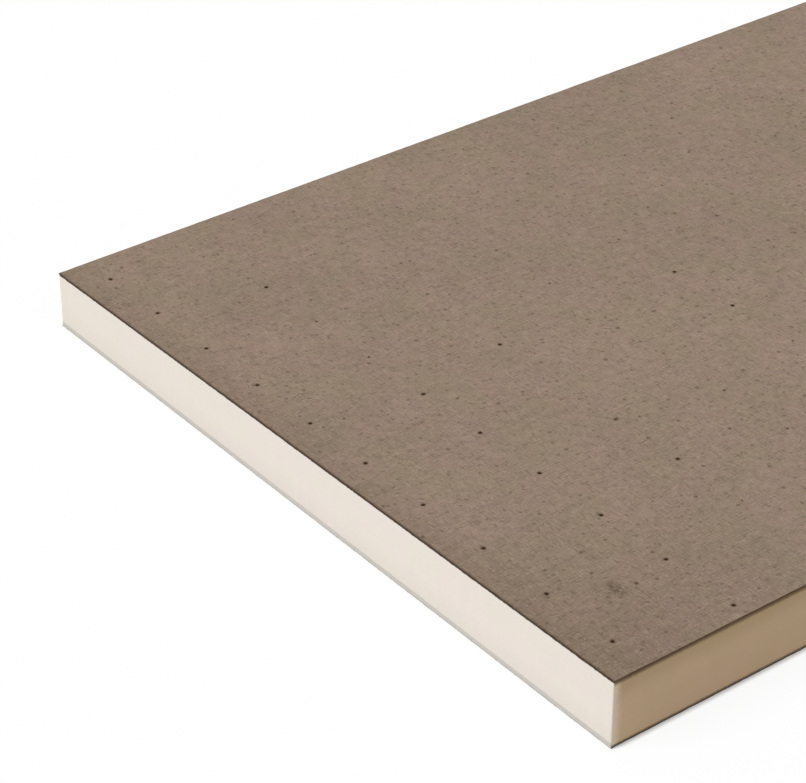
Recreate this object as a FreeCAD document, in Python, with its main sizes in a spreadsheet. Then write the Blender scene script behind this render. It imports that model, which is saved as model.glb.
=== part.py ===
import FreeCAD, Part
import Sketcher

import os

# Tapered polyisocyanurate roof insulation board, 4 ft by 8 ft, lying on its flat side.
#
# A wedge of rigid foam is foamed between two felt facers and sawn to size, so the board is three
# pieces laminated face to face: the foam core, the top facer on the slope and the bottom facer on
# the flat side.  The top facer is needle-perforated in staggered rows.
#
# Frame, in millimetres: +X runs up the taper to the thick edge, +Y along the 8 ft length, +Z up.
# The origin is the centre of the bottom face.

SIZES = [
    ("board_width", 1219.2, "4 ft side, up the taper"),
    ("board_length", 2438.4, "8 ft side, along the level edges"),
    ("thick_edge", 101.6, "board height at the thick edge, facers included"),
    ("thin_edge", 88.9, "board height at the thin edge, facers included"),
    ("top_facer", 1.5, "thickness of the felt on the slope"),
    ("bottom_facer", 1.5, "thickness of the felt on the flat side"),
    ("pinhole_diameter", 4.5, "needle perforation through the top facer"),
    ("pinhole_pitch", 122.0, "from one pinhole to the next in a row"),
    ("row_pitch", 163.0, "from one row of pinholes to the next"),
    ("edge_to_odd_rows", 60.0, "thick edge to the first pinhole of rows 1, 3, 5 ..."),
    ("edge_to_even_rows", 24.0, "thick edge to the first pinhole of rows 2, 4, 6 ..."),
    ("end_to_first_row", 50.0, "end of the board to the centres of the first row"),
    ("pinhole_margin", 12.0, "least distance from a pinhole's centre to the far edges"),
]

# The underside of the board rests at height zero at both edges.
FLOOR = (None, None)


def make_sheet(doc):
    """The driving dimensions, one row each: a note, and a value with its alias."""
    sheet = doc.addObject("Spreadsheet::Sheet", "sizes")
    for row, (alias, value, note) in enumerate(SIZES, start=1):
        sheet.set(f"A{row}", note)
        sheet.set(f"B{row}", str(value))
        sheet.setAlias(f"B{row}", alias)
    doc.recompute()


def origin_feature(body, role):
    """One of the body's own origin planes or axes."""
    return next(item for item in body.Origin.OriginFeatures if item.Role == role)


def make_body(doc, label):
    body = doc.addObject("PartDesign::Body", label)
    body.Label = label
    body.Placement = FreeCAD.Placement()
    return body


def make_sketch(body, name, role):
    sketch = body.newObject("Sketcher::SketchObject", name)
    sketch.AttachmentSupport = [(origin_feature(body, role), "")]
    sketch.MapMode = "FlatFace"
    return sketch


def bind(sketch, expression, *constraint):
    """Add a driving constraint and bind its value to the sheet."""
    index = sketch.addConstraint(Sketcher.Constraint(*constraint))
    sketch.setExpression(f"Constraints[{index}]", expression)


def make_layer(doc, label, underside, upside):
    """A layer of the board, padded along its whole length from its end section.

    underside and upside give the height of those two faces at the thin and at the thick edge, as
    expressions of the sheet, with None for a height of zero.
    """
    body = make_body(doc, label)
    section = make_sketch(body, f"{label}_section", "XZ_Plane")

    # Corners run from the foot of the thin edge to the foot of the thick edge and over the top.
    heights = [underside[0], underside[1], upside[1], upside[0]]
    rough = [(-600, 10), (600, 10), (600, 90), (-600, 90)]
    for start, end in zip(rough, rough[1:] + rough[:1]):
        line = Part.LineSegment(FreeCAD.Vector(*start, 0), FreeCAD.Vector(*end, 0))
        section.addGeometry(line, False)
    for line in range(4):
        section.addConstraint(Sketcher.Constraint("Coincident", line, 2, (line + 1) % 4, 1))
    for plumb_side in (1, 3):
        section.addConstraint(Sketcher.Constraint("Vertical", plumb_side))
    bind(section, "sizes.board_width / 2", "DistanceX", 0, 1, -1, 1, 600)
    bind(section, "sizes.board_width / 2", "DistanceX", -1, 1, 1, 1, 600)
    for line, height in enumerate(heights):
        if height is None:
            section.addConstraint(Sketcher.Constraint("PointOnObject", line, 1, -1))
        else:
            bind(section, height, "DistanceY", -1, 1, line, 1, rough[line][1])

    pad = body.newObject("PartDesign::Pad", f"{label}_pad")
    pad.Profile = section
    pad.Midplane = True
    pad.setExpression("Length", "sizes.board_length")
    doc.recompute()
    return body


def repeat(body, name, role, backwards, spacing, room):
    """A straight pattern along one of the body's axes, with as many copies as the room allows."""
    pattern = body.newObject("PartDesign::LinearPattern", name)
    pattern.Direction = (origin_feature(body, role), [""])
    pattern.Reversed = backwards
    pattern.Mode = "Spacing"
    pattern.setExpression("Offset", spacing)
    pattern.setExpression("Occurrences", f"floor(({room}) / ({spacing})) + 1")
    return pattern


def pierce_rows(doc, body, name, edge_distance, end_distance):
    """Punch every other row of pinholes through a facer.

    edge_distance is how far the first pinhole stands in from the thick edge, and end_distance how
    far the first row stands in from the end of the board, both as expressions of the sheet.
    """
    before = body.Shape.Volume
    sketch = make_sketch(body, f"{name}_sketch", "XY_Plane")
    sketch.addGeometry(Part.Circle(FreeCAD.Vector(500, -1000, 0), FreeCAD.Vector(0, 0, 1), 2))
    bind(sketch, "sizes.pinhole_diameter", "Diameter", 0, 4)
    bind(sketch, f"sizes.board_width / 2 - {edge_distance}", "DistanceX", -1, 1, 0, 3, 500)
    bind(sketch, f"sizes.board_length / 2 - ({end_distance})", "DistanceY", 0, 3, -1, 1, 1000)

    first = body.newObject("PartDesign::Pocket", f"{name}_first")
    first.Profile = sketch
    first.Type = "ThroughAll"
    first.Reversed = True
    doc.recompute()
    one_hole = before - body.Shape.Volume

    pattern = body.newObject("PartDesign::MultiTransform", f"{name}_pattern")
    pattern.Originals = [first]
    room_across = f"sizes.board_width - {edge_distance} - sizes.pinhole_margin"
    room_along = f"sizes.board_length - ({end_distance}) - sizes.pinhole_margin"
    across = repeat(body, f"{name}_across", "X_Axis", True, "sizes.pinhole_pitch", room_across)
    along = repeat(body, f"{name}_along", "Y_Axis", False, "2 * sizes.row_pitch", room_along)
    pattern.Transformations = [across, along]
    body.Tip = pattern
    doc.recompute()

    holes = across.Occurrences * along.Occurrences
    removed = before - body.Shape.Volume
    print(f"{name}: {along.Occurrences} rows of {across.Occurrences} pinholes")
    if one_hole <= 0 or abs(removed - holes * one_hole) > 0.01 * removed:
        raise RuntimeError(f"{name} cut {removed:.1f} mm3, not {holes} x {one_hole:.1f} mm3")


def build(doc):
    """Make the three layers from the floor up."""
    make_sheet(doc)
    bottom_of_core = "sizes.bottom_facer"
    thin_top_of_core = "sizes.thin_edge - sizes.top_facer"
    thick_top_of_core = "sizes.thick_edge - sizes.top_facer"

    flat = (bottom_of_core, bottom_of_core)
    slope = (thin_top_of_core, thick_top_of_core)
    top = ("sizes.thin_edge", "sizes.thick_edge")

    bottom_facer = make_layer(doc, "bottom_facer", FLOOR, flat)
    foam_core = make_layer(doc, "foam_core", flat, slope)
    top_facer = make_layer(doc, "top_facer", slope, top)

    first_row = "sizes.end_to_first_row"
    second_row = "sizes.end_to_first_row + sizes.row_pitch"
    pierce_rows(doc, top_facer, "odd_rows", "sizes.edge_to_odd_rows", first_row)
    pierce_rows(doc, top_facer, "even_rows", "sizes.edge_to_even_rows", second_row)
    return [bottom_facer, foam_core, top_facer]


def check(doc, bodies):
    """Stop before anything is written if an object failed or a shape is unsound."""
    for item in doc.Objects:
        if {"Invalid", "Error"} & set(item.State):
            raise RuntimeError(f"{item.Name} is {item.State}")
    for body in bodies:
        if body.Shape.isNull() or not body.Shape.isValid():
            raise RuntimeError(f"{body.Label} has no valid shape")


def export(bodies):
    os.makedirs("parts", exist_ok=True)
    for body in bodies:
        body.Shape.exportStep(os.path.join("parts", f"{body.Label}.step"))
        print(f"{body.Label}: {len(body.Shape.Solids)} solid, {body.Shape.Volume / 1e9:.6f} m3")


document = FreeCAD.newDocument("tapered_polyiso_board")
layers = build(document)
document.recompute()
check(document, layers)
export(layers)
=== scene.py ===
import math
import random

import bmesh
import bpy
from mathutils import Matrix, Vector, kdtree, noise
from mathutils.geometry import delaunay_2d_cdt


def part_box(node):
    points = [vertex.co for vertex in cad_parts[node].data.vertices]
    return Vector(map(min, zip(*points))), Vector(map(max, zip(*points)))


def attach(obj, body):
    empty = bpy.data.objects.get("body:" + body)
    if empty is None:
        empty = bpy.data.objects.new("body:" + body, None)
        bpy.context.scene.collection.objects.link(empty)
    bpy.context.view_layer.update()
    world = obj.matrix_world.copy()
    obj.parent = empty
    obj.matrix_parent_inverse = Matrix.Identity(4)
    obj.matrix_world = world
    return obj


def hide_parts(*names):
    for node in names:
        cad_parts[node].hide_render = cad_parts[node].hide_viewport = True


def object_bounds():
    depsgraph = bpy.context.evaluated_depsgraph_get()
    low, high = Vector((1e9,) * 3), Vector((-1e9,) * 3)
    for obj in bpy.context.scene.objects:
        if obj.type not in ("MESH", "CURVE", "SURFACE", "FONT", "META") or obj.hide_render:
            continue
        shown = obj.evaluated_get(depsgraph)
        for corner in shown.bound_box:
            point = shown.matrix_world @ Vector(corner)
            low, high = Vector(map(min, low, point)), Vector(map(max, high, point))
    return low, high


# The looks of a tapered roof insulation board: a foam wedge, cream at its ends and tan along its
# sides, a tan that is partly painted shade, between two felt facers.
# Everything is in metres, in the frame of the imported model: +X runs up the taper, +Z is up.

MM = 0.001
random.seed(7)

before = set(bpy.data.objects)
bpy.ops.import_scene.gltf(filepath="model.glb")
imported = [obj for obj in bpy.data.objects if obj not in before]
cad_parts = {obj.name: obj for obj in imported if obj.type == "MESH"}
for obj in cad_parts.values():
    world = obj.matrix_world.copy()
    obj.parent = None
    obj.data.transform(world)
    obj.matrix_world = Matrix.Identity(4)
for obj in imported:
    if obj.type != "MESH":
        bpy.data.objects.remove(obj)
CAD_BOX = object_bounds()

# Sizes taken from the frame.
(WEST, SOUTH, FLOOR_Z), (EAST, NORTH, THICK_TOP) = (tuple(corner) for corner in CAD_BOX)
FOAM_LOW, FOAM_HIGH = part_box("foam_core")
FELT_LOW, FELT_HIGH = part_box("top_facer")
TOP_FELT = THICK_TOP - FOAM_HIGH[2]
BOTTOM_FELT = FOAM_LOW[2] - FLOOR_Z
THIN_TOP = FELT_LOW[2] + TOP_FELT
RISE = (THICK_TOP - THIN_TOP) / (EAST - WEST)

# How finely the pieces are meshed, and how uneven they are.
EDGE_STEP = 6 * MM
FELT_GRID = 17 * MM
FOAM_ROWS = 18
FOAM_CORNER = 2 * MM
CORNER_STEPS = 6
FELT_RAGGED = 0.45 * MM
FELT_WAVE = 0.16 * MM
SAW_WAVE = 0.3 * MM
DIMPLE_DEPTH = 0.5 * MM
DIMPLE_FADES = 1.3 * MM
DIMPLE_RINGS = (0.0, 0.7 * MM, 1.8 * MM, 4.0 * MM)
RING_POINTS = 16
RING_WOBBLE = (0.93, 1.08)
FULL_PINHOLE = 2.2 * MM
PIERCED_REACH = 2.2 * MM
PINHOLE_SPREAD = 6 * MM
CLEAR_OF_PINHOLE = 9 * MM
GRID_JITTER = 0.25

# Loose fibres of the top felt.
FIBRE_POINTS = 6
LYING_FIBRES = 1500
LYING_MARGIN = 30 * MM
LYING_LENGTH = (5 * MM, 20 * MM)
LYING_WIDTH = (0.25, 0.5)
FRAYS_PER_METRE = 90
FRAY_LENGTH = (1.6 * MM, 3.4 * MM)
FRAY_WIDTH = (0.12, 0.2)

# Felt springs back and narrows many pinholes, none of them in the first row.
PINHOLE_SEED = 964498
OPEN_AT_END = 1.15
OPEN_FADES = 0.5
OPEN_LEAST = 0.2
CLOSED_TO = (0.3, 0.6)


def slope(x):
    """Height of the board's sloped face at x."""
    return THIN_TOP + (x - WEST) * RISE


# ---------------------------------------------------------------- geometry

def pinhole_centres():
    """(x, y, radius) of every pinhole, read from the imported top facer."""
    inner = 2 * MM
    points = {
        (round(v.co.x, 6), round(v.co.y, 6))
        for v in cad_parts["top_facer"].data.vertices
        if WEST + inner < v.co.x < EAST - inner and SOUTH + inner < v.co.y < NORTH - inner
    }
    tree = kdtree.KDTree(len(points))
    points = sorted(points)
    for index, (x, y) in enumerate(points):
        tree.insert((x, y, 0), index)
    tree.balance()
    seen = set()
    holes = []
    for index, (x, y) in enumerate(points):
        if index in seen:
            continue
        ring = [found for _, found, _ in tree.find_range((x, y, 0), PINHOLE_SPREAD)]
        seen.update(ring)
        cx = (min(points[i][0] for i in ring) + max(points[i][0] for i in ring)) / 2
        cy = (min(points[i][1] for i in ring) + max(points[i][1] for i in ring)) / 2
        holes.append((cx, cy, max(math.dist(points[i], (cx, cy)) for i in ring)))
    return sorted(holes, key=lambda hole: (round(hole[1], 3), round(hole[0], 3)))


def half_closed(holes):
    """The same pinholes, many of them narrowed by felt that sprang back."""
    chance = random.Random(PINHOLE_SEED)
    narrowed = []
    for cx, cy, radius in holes:
        likely = max(OPEN_AT_END - (cy - SOUTH) / OPEN_FADES, OPEN_LEAST)
        stays_open = chance.random() < likely
        narrowed.append((cx, cy, radius if stays_open else radius * chance.uniform(*CLOSED_TO)))
    return narrowed


def ragged(x, y, seed):
    """A repeatable number from 0 to 1 that wanders along an edge."""
    coarse = noise.noise(Vector((x * 90, y * 90, seed)))
    fine = noise.noise(Vector((x * 400, y * 400, seed)))
    return min(max(0.5 + (coarse + 0.6 * fine), 0.0), 1.0)


def rectangle_loop(inset, seed, step):
    """Points round the board's outline, each pulled in by a wandering amount."""
    corners = [(WEST, SOUTH), (EAST, SOUTH), (EAST, NORTH), (WEST, NORTH)]
    inward = [(0, 1), (-1, 0), (0, -1), (1, 0)]
    loop = []
    for start, end, (nx, ny) in zip(corners, corners[1:] + corners[:1], inward):
        count = round(math.dist(start, end) / step)
        for i in range(count):
            x = start[0] + (end[0] - start[0]) * i / count
            y = start[1] + (end[1] - start[1]) * i / count
            pull = inset * ragged(x, y, seed) if i else 0.0
            loop.append((x + nx * pull, y + ny * pull))
    return loop


def felt_outline(holes, seed):
    """The felt's points and fixed edges in plan: its outline, and rings round each pinhole."""
    points = []
    edges = []

    def add_loop(loop):
        first = len(points)
        points.extend(Vector(p) for p in loop)
        edges.extend((first + i, first + (i + 1) % len(loop)) for i in range(len(loop)))

    add_loop(rectangle_loop(FELT_RAGGED, seed, EDGE_STEP))
    for cx, cy, radius in holes:
        turn = random.random()
        wobble = [random.uniform(*RING_WOBBLE) for _ in range(RING_POINTS)]
        for extra in DIMPLE_RINGS:
            ring = []
            for i in range(RING_POINTS):
                angle = (i + turn) * math.tau / RING_POINTS
                reach = radius * wobble[i] + extra
                ring.append((cx + reach * math.cos(angle), cy + reach * math.sin(angle)))
            add_loop(ring)

    tree = kdtree.KDTree(max(len(holes), 1))
    for index, (cx, cy, _) in enumerate(holes):
        tree.insert((cx, cy, 0), index)
    tree.balance()
    columns = round((EAST - WEST) / FELT_GRID)
    rows = round((NORTH - SOUTH) / FELT_GRID)
    for i in range(1, columns):
        for j in range(1, rows):
            x = WEST + (EAST - WEST) * (i + random.uniform(-GRID_JITTER, GRID_JITTER)) / columns
            y = SOUTH + (NORTH - SOUTH) * (j + random.uniform(-GRID_JITTER, GRID_JITTER)) / rows
            if not holes or tree.find((x, y, 0))[2] > CLEAR_OF_PINHOLE:
                points.append(Vector((x, y)))
    return points, edges, tree


def felt_mesh(name, upper, lower, holes, seed):
    """A closed sheet of felt between two height functions, pierced by the holes."""
    points, edges, tree = felt_outline(holes, seed)
    verts, _, faces, *_ = delaunay_2d_cdt(points, edges, [], 1, 1e-7)
    mesh = bmesh.new()
    pierced = mesh.verts.layers.float.new("pierced")
    top = [mesh.verts.new((p.x, p.y, upper(p.x, p.y, tree))) for p in verts]
    under = [mesh.verts.new((p.x, p.y, lower(p.x, p.y))) for p in verts]
    for vert in (top + under) if holes else []:
        near = tree.find((vert.co.x, vert.co.y, 0))
        radius = holes[near[1]][2]
        fullness = min(radius / FULL_PINHOLE, 1.0)
        vert[pierced] = max(1.0 - (near[2] - radius) / PIERCED_REACH, 0.0) * fullness
    for face in faces:
        centre = sum((verts[i] for i in face), Vector((0, 0))) / len(face)
        if holes:
            where = tree.find((centre.x, centre.y, 0))
            if where[2] < 0.9 * holes[where[1]][2]:
                continue
        if len({tuple(verts[i]) for i in face}) == len(face):
            mesh.faces.new([top[i] for i in face]).smooth = True
            mesh.faces.new([under[i] for i in reversed(face)])
    twin = dict(zip(top, under))
    for edge in [e for e in mesh.edges if len(e.link_faces) == 1 and e.verts[0] in twin]:
        a, b = (loop.vert for loop in (edge.link_loops[0], edge.link_loops[0].link_loop_next))
        mesh.faces.new((b, a, twin[a], twin[b]))
        edge.smooth = False
    loose = [v for v in mesh.verts if not v.link_faces]
    bmesh.ops.delete(mesh, geom=loose, context="VERTS")
    return finish_piece(name, mesh)


def felt_surface(x, y):
    """Height of the top felt, which waves a little with the foam under it."""
    wave = noise.noise(Vector((x * 14, y * 14, 3)))
    wave += 0.5 * noise.noise(Vector((x * 45, y * 45, 8)))
    return slope(x) + FELT_WAVE * (wave - 0.6)


def top_felt(holes):
    """The felt on the slope, dimpled round each pinhole where the needle pushed it in."""

    def upper(x, y, tree):
        near = tree.find((x, y, 0))
        gap = max(near[2] - holes[near[1]][2], 0.0)
        return felt_surface(x, y) - DIMPLE_DEPTH * math.exp(-gap / DIMPLE_FADES)

    def lower(x, y):
        return slope(x) - TOP_FELT

    piece = felt_mesh("top_felt", upper, lower, holes, 1.0)
    piece.data.materials.append(felt_material(TOP_FELT_LOOK))
    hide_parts("top_facer")
    return piece


def add_fibre(mesh, tone, path, width, shade):
    """A thin closed fibre of three-sided section along a path, drawn to a point at each end."""
    middle = []
    for before, point, after in zip(path, path[1:], path[2:]):
        side = (after - before).normalized().cross(Vector((0, 0, 1))) * width / 2
        ridge = Vector((0, 0, width * 0.7))
        middle.append([mesh.verts.new(point + offset) for offset in (side, ridge, -side)])
    tips = [mesh.verts.new(path[0]), mesh.verts.new(path[-1])]
    for near, far in zip(middle, middle[1:]):
        for i in range(3):
            j = (i + 1) % 3
            mesh.faces.new((near[i], near[j], far[j], far[i])).smooth = True
    for tip, ring in zip(tips, (middle[0], middle[-1])):
        for i in range(3):
            mesh.faces.new((ring[i], ring[(i + 1) % 3], tip))
    for vert in tips + [vert for ring in middle for vert in ring]:
        vert[tone] = shade


def curved_path(x, y, heading, length, bend, height):
    """Points along a gently curved line in plan, at the height that a function gives."""
    path = []
    for _ in range(FIBRE_POINTS):
        path.append(Vector((x, y, height(x, y))))
        x += math.cos(heading) * length / (FIBRE_POINTS - 1)
        y += math.sin(heading) * length / (FIBRE_POINTS - 1)
        heading += bend
    return path


def felt_fibres():
    """Loose fibres: some lie on the top felt, pale or dark, and some fray out of its cut edge."""
    mesh = bmesh.new()
    tone = mesh.verts.layers.float.new("tone")
    for _ in range(LYING_FIBRES):
        x = random.uniform(WEST + LYING_MARGIN, EAST - LYING_MARGIN)
        y = random.uniform(SOUTH + LYING_MARGIN, NORTH - LYING_MARGIN)
        heading = random.choice((0.0, math.pi / 2)) + random.gauss(0, 0.5)
        length = random.uniform(*LYING_LENGTH)
        path = curved_path(x, y, heading, length, random.uniform(-0.3, 0.3), felt_surface)
        width = random.uniform(*LYING_WIDTH) * MM
        add_fibre(mesh, tone, path, width, random.choice((0.0, 0.7, 1.0)))

    corners = [(WEST, SOUTH), (EAST, SOUTH), (EAST, NORTH), (WEST, NORTH)]
    for number, (start, end) in enumerate(zip(corners, corners[1:] + corners[:1])):
        outward = math.radians(90 * number - 90)
        for _ in range(round(math.dist(start, end) * FRAYS_PER_METRE)):
            share = random.uniform(0.005, 0.995)
            x = start[0] + (end[0] - start[0]) * share - math.cos(outward) * MM
            y = start[1] + (end[1] - start[1]) * share - math.sin(outward) * MM
            depth = random.uniform(0.2, 0.8) * TOP_FELT
            droop = random.uniform(-0.3, 0.5)

            def height(at_x, at_y):
                return slope(x) - depth - droop * math.dist((x, y), (at_x, at_y))

            heading = outward + random.gauss(0, 0.7)
            length = random.uniform(*FRAY_LENGTH)
            path = curved_path(x, y, heading, length, random.uniform(-0.4, 0.4), height)
            width = random.uniform(*FRAY_WIDTH) * MM
            add_fibre(mesh, tone, path, width, random.uniform(0.1, 0.8))
    piece = finish_piece("felt_fibres", mesh)
    piece.data.materials.append(fibre_material())


def bottom_felt():
    """The plain felt on the flat side."""

    def upper(x, y, tree):
        return FLOOR_Z + BOTTOM_FELT

    def lower(x, y):
        return FLOOR_Z

    piece = felt_mesh("bottom_felt", upper, lower, [], 5.0)
    piece.data.materials.append(felt_material(BOTTOM_FELT_LOOK))
    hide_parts("bottom_facer")
    return piece


def foam_outline():
    """(x, y, normal) round the foam block, with its plumb corners a little rounded."""
    r = FOAM_CORNER
    centres = [(EAST - r, SOUTH + r, -90), (EAST - r, NORTH - r, 0), (WEST + r, NORTH - r, 90),
               (WEST + r, SOUTH + r, 180)]
    outline = []
    for number, (cx, cy, start) in enumerate(centres):
        for i in range(CORNER_STEPS + 1):
            angle = math.radians(start + 90 * i / CORNER_STEPS)
            outline.append((cx + r * math.cos(angle), cy + r * math.sin(angle), angle))
        nx, ny, angle_next = centres[(number + 1) % 4]
        first = outline[-1]
        angle = first[2]
        last = (nx + r * math.cos(angle), ny + r * math.sin(angle))
        count = round(math.dist(first[:2], last) / EDGE_STEP)
        for i in range(1, count):
            x = first[0] + (last[0] - first[0]) * i / count
            y = first[1] + (last[1] - first[1]) * i / count
            outline.append((x, y, angle))
    return outline


def foam_block():
    """The sawn foam: walls with a faint saw wave and torn cells, closed by a flat top and bottom."""
    outline = foam_outline()
    mesh = bmesh.new()
    rows = []
    for row in range(FOAM_ROWS + 1):
        share = row / FOAM_ROWS
        ring = []
        for x, y, angle in outline:
            z = FOAM_LOW[2] + share * (slope(x) - TOP_FELT - FOAM_LOW[2])
            wave = noise.noise(Vector((x * 4, y * 4, z * 30)))
            wave += 0.15 * noise.noise(Vector((x * 40, y * 40, z * 120)))
            pull = SAW_WAVE * min(max(0.5 + 0.5 * wave, 0.0), 1.4)
            ring.append(mesh.verts.new((x - pull * math.cos(angle), y - pull * math.sin(angle), z)))
        rows.append(ring)
    count = len(outline)
    for low, high in zip(rows, rows[1:]):
        for i in range(count):
            j = (i + 1) % count
            mesh.faces.new((low[i], low[j], high[j], high[i])).smooth = True
    mesh.faces.new(list(reversed(rows[0])))
    mesh.faces.new(rows[-1])
    for ring in (rows[0], rows[-1]):
        for i in range(count):
            mesh.edges.get((ring[i], ring[(i + 1) % count])).smooth = False
    piece = finish_piece("foam_block", mesh)
    piece.data.materials.append(foam_material())
    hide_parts("foam_core")
    return piece


def finish_piece(name, mesh):
    """Turn a bmesh into an object that moves with the board."""
    bmesh.ops.recalc_face_normals(mesh, faces=mesh.faces)
    data = bpy.data.meshes.new(name)
    mesh.to_mesh(data)
    mesh.free()
    piece = bpy.data.objects.new(name, data)
    bpy.context.scene.collection.objects.link(piece)
    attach(piece, "root")
    return piece


# ---------------------------------------------------------------- materials

def rgb(red, green, blue):
    """A colour given as it looks on a screen, 0 to 255, as the linear values nodes hold."""
    linear = []
    for value in (red, green, blue):
        value /= 255
        linear.append(value / 12.92 if value <= 0.04045 else ((value + 0.055) / 1.055) ** 2.4)
    return (*linear, 1.0)


class Look:
    """A small helper that adds nodes to one material and links them."""

    def __init__(self, name):
        self.material = bpy.data.materials.new(name)
        self.material.use_nodes = True
        self.tree = self.material.node_tree
        self.shader = self.tree.nodes["Principled BSDF"]
        self.coord = self.tree.nodes.new("ShaderNodeTexCoord")
        self.place = self.coord.outputs["Object"]
        parts = self.tree.nodes.new("ShaderNodeSeparateXYZ")
        self.tree.links.new(self.place, parts.inputs[0])
        self.x, self.y, self.z = parts.outputs
        facing = self.tree.nodes.new("ShaderNodeSeparateXYZ")
        self.tree.links.new(self.coord.outputs["Normal"], facing.inputs[0])
        self.normal_x, _, self.normal_z = facing.outputs

    def feed(self, socket, value):
        if isinstance(value, bpy.types.NodeSocket):
            self.tree.links.new(value, socket)
        else:
            socket.default_value = value

    def math(self, operation, first, second=0.0, third=0.0, clamp=False):
        node = self.tree.nodes.new("ShaderNodeMath")
        node.operation = operation
        node.use_clamp = clamp
        for socket, value in zip(node.inputs, (first, second, third)):
            self.feed(socket, value)
        return node.outputs[0]

    def ramp(self, value, low, high, to_low=0.0, to_high=1.0):
        """value from low to high becomes to_low to to_high, smoothly, and stops there."""
        node = self.tree.nodes.new("ShaderNodeMapRange")
        node.interpolation_type = "SMOOTHSTEP"
        for socket, number in zip(node.inputs[:5], (value, low, high, to_low, to_high)):
            self.feed(socket, number)
        return node.outputs[0]

    def stretch(self, scale):
        """The place, scaled by a different amount along each axis."""
        node = self.tree.nodes.new("ShaderNodeMapping")
        self.feed(node.inputs["Vector"], self.place)
        node.inputs["Scale"].default_value = scale
        return node.outputs[0]

    def attribute(self, name):
        """A number that the mesh carries at each of its points."""
        node = self.tree.nodes.new("ShaderNodeAttribute")
        node.attribute_name = name
        return node.outputs["Fac"]

    def noise(self, scale, detail=3.0, roughness=0.55, place=None, distortion=0.0):
        node = self.tree.nodes.new("ShaderNodeTexNoise")
        self.feed(node.inputs["Vector"], place or self.place)
        node.inputs["Scale"].default_value = scale
        node.inputs["Detail"].default_value = detail
        node.inputs["Roughness"].default_value = roughness
        node.inputs["Distortion"].default_value = distortion
        return node.outputs["Fac"]

    def cells(self, scale, place=None, plan=False):
        """Distance to the nearest of many scattered points, and a random number for each."""
        node = self.tree.nodes.new("ShaderNodeTexVoronoi")
        node.voronoi_dimensions = "2D" if plan else "3D"
        self.feed(node.inputs["Vector"], place or self.place)
        node.inputs["Scale"].default_value = scale
        chance = self.tree.nodes.new("ShaderNodeSeparateColor")
        self.feed(chance.inputs[0], node.outputs["Color"])
        return node.outputs["Distance"], chance.outputs[0]

    def mix(self, amount, first, second, blend="MIX"):
        node = self.tree.nodes.new("ShaderNodeMix")
        node.data_type = "RGBA"
        node.blend_type = blend
        self.feed(node.inputs["Factor"], amount)
        self.feed(node.inputs[6], first)
        self.feed(node.inputs[7], second)
        return node.outputs[2]

    def between(self, amount, first, second):
        """A number that goes from first to second as amount goes from 0 to 1."""
        change = self.math("MULTIPLY", amount, self.math("SUBTRACT", second, first))
        return self.math("ADD", first, change)

    def scale_colour(self, colour, amount):
        node = self.tree.nodes.new("ShaderNodeVectorMath")
        node.operation = "SCALE"
        self.feed(node.inputs[0], colour[:3] if isinstance(colour, tuple) else colour)
        self.feed(node.inputs["Scale"], amount)
        return node.outputs[0]

    def bump(self, height, distance, strength=1.0):
        node = self.tree.nodes.new("ShaderNodeBump")
        node.inputs["Distance"].default_value = distance
        node.inputs["Strength"].default_value = strength
        self.feed(node.inputs["Height"], height)
        return node.outputs[0]

    def specks(self, scale, chance, radius, place=None, plan=True):
        """1 inside soft round specks, of which only a share of the cells has one."""
        distance, pick = self.cells(scale, place, plan)
        spot = self.ramp(distance, 0.35 * radius, radius, 1.0, 0.0)
        return self.math("MULTIPLY", spot, self.math("LESS_THAN", pick, chance))


TOP_FELT_LOOK = {
    "name": "top_felt",
    "olive": rgb(144, 127, 108),
    "rosy": rgb(148, 127, 112),
    "fleck": rgb(92, 78, 64),
    "fibre": rgb(176, 161, 144),
    "cut": rgb(68, 55, 44),
    "cut_long": rgb(94, 72, 50),
    "stain": True,
}

BOTTOM_FELT_LOOK = {
    "name": "bottom_felt",
    "olive": rgb(158, 153, 144),
    "rosy": rgb(163, 156, 149),
    "fleck": rgb(112, 106, 98),
    "fibre": rgb(194, 188, 178),
    "cut": rgb(188, 184, 177),
    # Painted shade: the bottom felt's long cut edges are drawn dark.
    "cut_long": rgb(80, 72, 63),
    "stain": False,
}

# A fuzzy dark smudge on the top felt and a speck beside it: where each is, and how far it reaches.
SMUDGE_AT = (0.472, -1.096)
SMUDGE_REACH = (26 * MM, 14 * MM)
SPECK_AT = (0.479, -1.069)
SPECK_REACH = 4.5 * MM
SMUDGE_COLOUR = rgb(80, 64, 50)

# The top felt is soiled towards the board's near thick corner.
SOILED_REACH = 480 * MM
SOILED_COLOUR = rgb(121, 103, 87)

# The felt darkens along its cut edges, and with painted shade at the rim of a pinhole and inside it.
EDGE_SOIL = 4 * MM
PINHOLE_PAINTED_SHADE = rgb(60, 41, 24)


def distance_from(felt, place, reach):
    """Distance in plan from a place, counted in reaches along X and along Y."""
    dx = felt.math("DIVIDE", felt.math("SUBTRACT", felt.x, place[0]), reach[0])
    dy = felt.math("DIVIDE", felt.math("SUBTRACT", felt.y, place[1]), reach[1])
    squares = felt.math("ADD", felt.math("MULTIPLY", dx, dx), felt.math("MULTIPLY", dy, dy))
    return felt.math("SQRT", squares)


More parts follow.
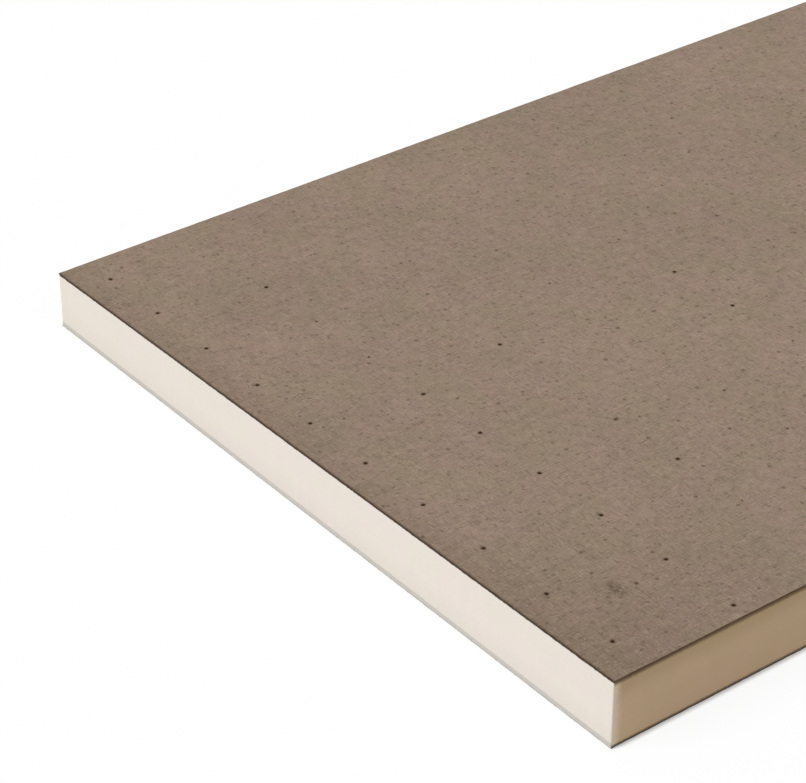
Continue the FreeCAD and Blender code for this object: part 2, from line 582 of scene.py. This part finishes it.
def felt_material(look):
    """Glass-fibre felt: two shades in patches, dark flecks, pale fibres, and a darker cut edge, drawn
    dark on the bottom felt's long edges as painted shade.
    """
    felt = Look(look["name"])
    patches = felt.ramp(felt.noise(13, 3.0), 0.38, 0.62)
    colour = felt.mix(patches, look["olive"], look["rosy"])
    if look["stain"]:
        soiled = distance_from(felt, (EAST, SOUTH), (SOILED_REACH, SOILED_REACH))
        colour = felt.mix(felt.ramp(soiled, 0.0, 1.0, 0.5, 0.0), colour, SOILED_COLOUR)
        near_end = felt.ramp(felt.math("SUBTRACT", felt.y, SOUTH), 0.0, 70 * MM, 0.3, 0.0)
        colour = felt.mix(near_end, colour, SOILED_COLOUR)

    clouds = felt.ramp(felt.noise(5, 3.0), 0.3, 0.7, 0.96, 1.04)
    mottle = felt.ramp(felt.noise(60, 5.0, 0.7), 0.25, 0.75, 0.91, 1.09)
    grain = felt.ramp(felt.noise(330, 3.0, 0.7), 0.3, 0.7, 0.91, 1.09)
    along = felt.noise(1, 3.0, place=felt.stretch((380, 60, 380)))
    across = felt.noise(1, 3.0, place=felt.stretch((60, 380, 380)))
    shade = felt.math("MULTIPLY", felt.math("MULTIPLY", clouds, mottle), grain)
    for streaks in (along, across):
        shade = felt.math("MULTIPLY", shade, felt.ramp(streaks, 0.3, 0.7, 0.95, 1.05))
    colour = felt.scale_colour(colour, shade)

    # Flecks: rare and bold, common and small, and short streaks in two directions.
    wander = felt.noise(150, 2.0, distortion=1.5)
    bold = felt.math("MULTIPLY", felt.specks(21, 0.3, 0.085), felt.ramp(wander, 0.3, 0.55, 0.3, 0.75))
    small = felt.math("MULTIPLY", felt.specks(70, 0.28, 0.25), felt.ramp(wander, 0.3, 0.6, 0.05, 0.52))
    fine = felt.math("MULTIPLY", felt.specks(190, 0.3, 0.32), 0.24)
    dashes_along = felt.math("MULTIPLY", felt.specks(1, 0.25, 0.3, felt.stretch((190, 40, 1))), 0.3)
    dashes_across = felt.math("MULTIPLY", felt.specks(1, 0.25, 0.3, felt.stretch((40, 190, 1))), 0.3)
    for flecks in (bold, small, fine, dashes_along, dashes_across):
        colour = felt.mix(flecks, colour, look["fleck"])
    pale_along = felt.specks(1, 0.3, 0.28, felt.stretch((300, 45, 1)))
    pale_across = felt.specks(1, 0.3, 0.28, felt.stretch((45, 300, 1)))
    pale_dots = felt.specks(160, 0.2, 0.3)
    for pale in (pale_along, pale_across, pale_dots):
        colour = felt.mix(felt.math("MULTIPLY", pale, 0.28), colour, look["fibre"])

    if look["stain"]:
        fuzz = felt.ramp(felt.noise(110, 4.0, 0.75), 0.38, 0.54)
        reach = distance_from(felt, SMUDGE_AT, SMUDGE_REACH)
        smudge = felt.math("MULTIPLY", felt.ramp(reach, 0.2, 1.0, 0.7, 0.0), fuzz)
        speck = distance_from(felt, SPECK_AT, (SPECK_REACH, SPECK_REACH))
        smudge = felt.math("MAXIMUM", smudge, felt.ramp(speck, 0.3, 1.0, 0.8, 0.0))
        colour = felt.mix(smudge, colour, SMUDGE_COLOUR)

    # Painted shade: the felt is drawn dark inside each pinhole and round its rim.
    pierced = felt.attribute("pierced")
    colour = felt.mix(felt.math("MULTIPLY", pierced, 0.9), colour, PINHOLE_PAINTED_SHADE)

    sideways = felt.ramp(felt.math("ABSOLUTE", felt.normal_z), 0.4, 0.8, 1.0, 0.0)
    frayed = felt.ramp(felt.noise(500, 3.0), 0.3, 0.7, 0.75, 1.25)
    long_edge = felt.ramp(felt.math("ABSOLUTE", felt.normal_x), 0.5, 0.9)
    # On the bottom felt the long cut edges carry painted shade.
    cut = felt.mix(long_edge, look["cut"], look["cut_long"])
    inboard_x = felt.math("SUBTRACT", EAST, felt.math("ABSOLUTE", felt.x))
    inboard_y = felt.math("SUBTRACT", NORTH, felt.math("ABSOLUTE", felt.y))
    rim_end = felt.ramp(inboard_y, 0.2 * MM, EDGE_SOIL, 0.6, 0.0)
    rim_long = felt.ramp(inboard_x, 0.2 * MM, 0.6 * EDGE_SOIL, 0.3, 0.0)
    rim = felt.math("MAXIMUM", rim_end, rim_long)
    colour = felt.mix(felt.math("MULTIPLY", rim, frayed), colour, look["cut"])
    colour = felt.mix(sideways, colour, felt.scale_colour(cut, frayed))

    height = felt.math("ADD", felt.noise(420, 4.0, 0.7), felt.math("MULTIPLY", along, 0.9))
    height = felt.math("ADD", height, felt.math("MULTIPLY", across, 0.9))
    height = felt.math("SUBTRACT", height, felt.math("MULTIPLY", fine, 0.8))
    felt.feed(felt.shader.inputs["Base Color"], colour)
    felt.feed(felt.shader.inputs["Roughness"], felt.ramp(felt.noise(160, 3.0), 0.3, 0.7, 0.84, 0.97))
    felt.feed(felt.shader.inputs["Normal"], felt.bump(height, 0.3 * MM, 0.8))
    felt.shader.inputs["Specular IOR Level"].default_value = 0.18
    return felt.material


def fibre_material():
    """Single fibres, from dark to pale by the tone each one carries, uneven along their length."""
    fibre = Look("felt_fibre")
    tone = fibre.attribute("tone")
    colour = fibre.mix(tone, rgb(96, 82, 68), rgb(184, 169, 151))
    uneven = fibre.ramp(fibre.noise(500, 2.0), 0.3, 0.7, 0.85, 1.12)
    fibre.feed(fibre.shader.inputs["Base Color"], fibre.scale_colour(colour, uneven))
    fibre.feed(fibre.shader.inputs["Roughness"], fibre.ramp(fibre.noise(300), 0.3, 0.7, 0.7, 0.9))
    fibre.feed(fibre.shader.inputs["Normal"], fibre.bump(fibre.noise(1500, 2.0), 0.05 * MM, 0.5))
    fibre.shader.inputs["Specular IOR Level"].default_value = 0.25
    return fibre.material


# The bond lines in the foam: brown under the top felt and grey over the bottom one at the ends, and
# two browns along the sides, of which the one over the bottom felt is painted contact shadow. The
# dark brown that shows at the bottom of a pinhole is painted shade.
BOND_BROWN = rgb(74, 59, 46)
BOND_GREY = rgb(203, 199, 192)
SIDE_PAINTED_CONTACT_SHADOW = rgb(120, 104, 84)
BOND_SEEPED = rgb(119, 94, 68)
# Painted light: a bright cream strip on each side beside the plumb corners.
FOAM_CORNER_PAINTED_LIGHT = rgb(254, 234, 206)
# Painted shade: the darker tan drawn towards the top of the sides.
FOAM_TAN_PAINTED_TOP_SHADE = rgb(211, 182, 143)
FOAM_PAINTED_HOLE_SHADE = rgb(58, 38, 20)
BOND_LINE = 2.8 * MM


def foam_material():
    """Sawn foam: cream and almost even, tan on its long edges partly as painted shade, darker at the
    bond lines and at a painted contact shadow along the base of the sides.
    """
    foam = Look("foam")
    cloud = foam.noise(11, 2.0)
    warm = foam.mix(foam.ramp(cloud, 0.4, 0.6), rgb(243, 235, 223), rgb(244, 234, 225))
    tan = foam.mix(foam.ramp(foam.noise(16, 2.0), 0.4, 0.6), rgb(228, 199, 161), rgb(231, 199, 164))

    depth = foam.math("ADD", foam.math("MULTIPLY", foam.x, RISE), (THIN_TOP - WEST * RISE) - TOP_FELT)
    below_top = foam.math("SUBTRACT", depth, foam.z)
    above_base = foam.math("SUBTRACT", foam.z, FOAM_LOW[2])
    from_end = foam.math("SUBTRACT", NORTH, foam.math("ABSOLUTE", foam.y))
    waver = foam.ramp(foam.noise(60, 3.0), 0.3, 0.7, -2 * MM, 2 * MM)

    # Painted shade: the long edges are drawn tan, partly the foam's own colour and partly shade painted
    # into the sides.
    long_edge = foam.ramp(foam.math("ABSOLUTE", foam.normal_x), 0.55, 0.95)
    # Painted light: beside each plumb corner the side is drawn bright cream for the first few
    # millimetres.
    inboard = foam.ramp(foam.math("ADD", from_end, waver), 1.5 * MM, 17 * MM)
    # Painted shade and light: the sides are drawn darker towards the top and lighter towards the base,
    # and the ends darker towards the base.
    tan = foam.mix(foam.ramp(below_top, 2 * MM, 42 * MM, 1.0, 0.0), tan, FOAM_TAN_PAINTED_TOP_SHADE)
    tan = foam.scale_colour(tan, foam.ramp(above_base, 5 * MM, 45 * MM, 1.05, 1.0))
    cream = foam.scale_colour(warm, foam.ramp(above_base, 5 * MM, 45 * MM, 0.95, 1.0))
    side = foam.mix(inboard, FOAM_CORNER_PAINTED_LIGHT, tan)
    colour = foam.mix(long_edge, cream, side)

    cells = foam.ramp(foam.noise(700, 3.0, 0.7), 0.3, 0.7, 0.975, 1.02)
    saw = foam.ramp(foam.noise(1, 2.0, place=foam.stretch((55, 55, 6))), 0.3, 0.7, 0.995, 1.004)
    colour = foam.scale_colour(colour, foam.math("MULTIPLY", cells, saw))
    pits = foam.specks(260, 0.12, 0.3, plan=False)
    colour = foam.mix(foam.math("MULTIPLY", pits, 0.16), colour, rgb(178, 150, 112))

    fray = foam.ramp(foam.noise(240, 3.0), 0.3, 0.7, -0.4 * MM, 0.4 * MM)
    from_top = foam.math("ADD", below_top, fray)
    from_base = foam.math("ADD", above_base, fray)
    bond_top = foam.ramp(from_top, 0.4 * BOND_LINE, BOND_LINE, 1.0, 0.0)
    seeped = foam.ramp(from_top, 0.5 * BOND_LINE, 2.9 * BOND_LINE, 0.95, 0.0)
    bond_end = foam.ramp(from_base, 1.6 * BOND_LINE, 2.9 * BOND_LINE, 0.85, 0.0)
    # Painted contact shadow: along the sides the foam is drawn brown just over the bottom felt.
    side_painted_contact_shadow = foam.ramp(from_base, 0.4 * BOND_LINE, 1.7 * BOND_LINE, 0.9, 0.0)
    base_bond_and_painted_shadow = foam.between(long_edge, bond_end, side_painted_contact_shadow)
    colour = foam.mix(base_bond_and_painted_shadow, colour, foam.mix(long_edge, BOND_GREY, SIDE_PAINTED_CONTACT_SHADOW))
    top_line = foam.between(long_edge, bond_top, seeped)
    colour = foam.mix(top_line, colour, foam.mix(long_edge, BOND_BROWN, BOND_SEEPED))
    # Painted shade: upward foam faces, seen only at the bottom of a pinhole, are drawn dark brown.
    upward = foam.ramp(foam.normal_z, 0.6, 0.9)
    colour = foam.mix(upward, colour, FOAM_PAINTED_HOLE_SHADE)

    wall, _ = foam.cells(850)
    height = foam.math("ADD", foam.noise(900, 3.0, 0.7), foam.math("MULTIPLY", wall, 0.6))
    height = foam.math("SUBTRACT", height, foam.math("MULTIPLY", pits, 1.2))
    foam.feed(foam.shader.inputs["Base Color"], colour)
    foam.feed(foam.shader.inputs["Roughness"], foam.ramp(foam.noise(300, 2.0), 0.3, 0.7, 0.8, 0.95))
    foam.feed(foam.shader.inputs["Normal"], foam.bump(height, 0.12 * MM, 0.6))
    foam.shader.inputs["Specular IOR Level"].default_value = 0.2
    return foam.material


# ---------------------------------------------------------------- stage, light and camera

FLOOR_REACH = 14.0
FLOOR_DROP = 0.2 * MM
FLOOR_GLOW = 0.91
CONTACT_GLOW = 0.2
CONTACT_REACH = 9 * MM
FLOOR_BOUNCE = 0.42
WORLD_LEVEL = 0.56
KEY_STRENGTH = 1.95
KEY_TOWARDS = Vector((-0.30, -0.68, 0.67))
KEY_SPREAD = 28.0

CAMERA_AIM = Vector((-0.0405, -1.0287, 0.0995))
CAMERA_DISTANCE = 3.954
CAMERA_AZIMUTH = 52.31
CAMERA_ELEVATION = 32.69
CAMERA_LENS = 130.8


def seen_directly(nodes, links):
    """1 for camera, glossy and transmission rays, so that the background is white in them all."""
    path = nodes.new("ShaderNodeLightPath")
    total = path.outputs["Is Camera Ray"]
    for name in ("Is Glossy Ray", "Is Transmission Ray"):
        node = nodes.new("ShaderNodeMath")
        node.operation = "MAXIMUM"
        links.new(total, node.inputs[0])
        links.new(path.outputs[name], node.inputs[1])
        total = node.outputs[0]
    return total


def make_floor():
    """A white floor that keeps a shadow close to the board, and sends less light back than it shows."""
    mesh = bpy.data.meshes.new("floor")
    r = FLOOR_REACH
    z = FLOOR_Z - FLOOR_DROP
    mesh.from_pydata([(-r, -r, z), (r, -r, z), (r, r, z), (-r, r, z)], [], [(0, 1, 2, 3)])
    floor = bpy.data.objects.new("floor", mesh)
    bpy.context.scene.collection.objects.link(floor)
    look = Look("floor")
    nodes, links = look.tree.nodes, look.tree.links
    nodes.remove(look.shader)
    clear_x = look.math("MAXIMUM", look.math("SUBTRACT", look.math("ABSOLUTE", look.x), EAST), 0.0)
    clear_y = look.math("MAXIMUM", look.math("SUBTRACT", look.math("ABSOLUTE", look.y), NORTH), 0.0)
    clear = look.math("ADD", clear_x, clear_y)
    glow = nodes.new("ShaderNodeEmission")
    glow.inputs["Strength"].default_value = 1.0
    white = nodes.new("ShaderNodeBsdfDiffuse")
    white.inputs["Color"].default_value = (1.0, 1.0, 1.0, 1.0)
    shown = nodes.new("ShaderNodeMixShader")
    look.feed(shown.inputs[0], look.ramp(clear, 0.0, CONTACT_REACH, CONTACT_GLOW, FLOOR_GLOW))
    links.new(white.outputs[0], shown.inputs[1])
    links.new(glow.outputs[0], shown.inputs[2])
    bounce = nodes.new("ShaderNodeBsdfDiffuse")
    bounce.inputs["Color"].default_value = (FLOOR_BOUNCE, FLOOR_BOUNCE, FLOOR_BOUNCE, 1.0)
    mix = nodes.new("ShaderNodeMixShader")
    links.new(seen_directly(nodes, links), mix.inputs[0])
    links.new(bounce.outputs[0], mix.inputs[1])
    links.new(shown.outputs[0], mix.inputs[2])
    links.new(mix.outputs[0], nodes["Material Output"].inputs["Surface"])
    mesh.materials.append(look.material)


def make_world():
    """Even pale light from all round, seen as plain white."""
    world = bpy.data.worlds.new("studio")
    world.use_nodes = True
    bpy.context.scene.world = world
    nodes, links = world.node_tree.nodes, world.node_tree.links
    nodes.clear()
    light = nodes.new("ShaderNodeBackground")
    light.inputs["Strength"].default_value = WORLD_LEVEL
    white = nodes.new("ShaderNodeBackground")
    for background in (light, white):
        background.inputs["Color"].default_value = (1.0, 1.0, 1.0, 1.0)
    mix = nodes.new("ShaderNodeMixShader")
    links.new(seen_directly(nodes, links), mix.inputs[0])
    links.new(light.outputs[0], mix.inputs[1])
    links.new(white.outputs[0], mix.inputs[2])
    output = nodes.new("ShaderNodeOutputWorld")
    links.new(mix.outputs[0], output.inputs["Surface"])


def make_key_light():
    """One broad soft sun from the near left."""
    light = bpy.data.lights.new("key", "SUN")
    light.energy = KEY_STRENGTH
    light.angle = math.radians(KEY_SPREAD)
    lamp = bpy.data.objects.new("key", light)
    lamp.location = 4 * KEY_TOWARDS
    lamp.rotation_euler = KEY_TOWARDS.to_track_quat("Z", "Y").to_euler()
    bpy.context.scene.collection.objects.link(lamp)


def make_camera():
    """A long lens that looks down at the near thick corner."""
    azimuth, elevation = math.radians(CAMERA_AZIMUTH), math.radians(CAMERA_ELEVATION)
    back = Vector((
        math.sin(azimuth) * math.cos(elevation),
        -math.cos(azimuth) * math.cos(elevation),
        math.sin(elevation),
    ))
    data = bpy.data.cameras.new("camera")
    data.lens = CAMERA_LENS
    data.sensor_width = 36.0
    data.clip_end = 60.0
    camera = bpy.data.objects.new("camera", data)
    camera.location = CAMERA_AIM + CAMERA_DISTANCE * back
    camera.rotation_euler = back.to_track_quat("Z", "Y").to_euler()
    bpy.context.scene.collection.objects.link(camera)
    bpy.context.scene.camera = camera


bpy.context.scene.view_settings.view_transform = "Standard"
foam_block()
top_felt(half_closed(pinhole_centres()))
felt_fibres()
bottom_felt()
make_floor()
make_world()
make_key_light()
make_camera()
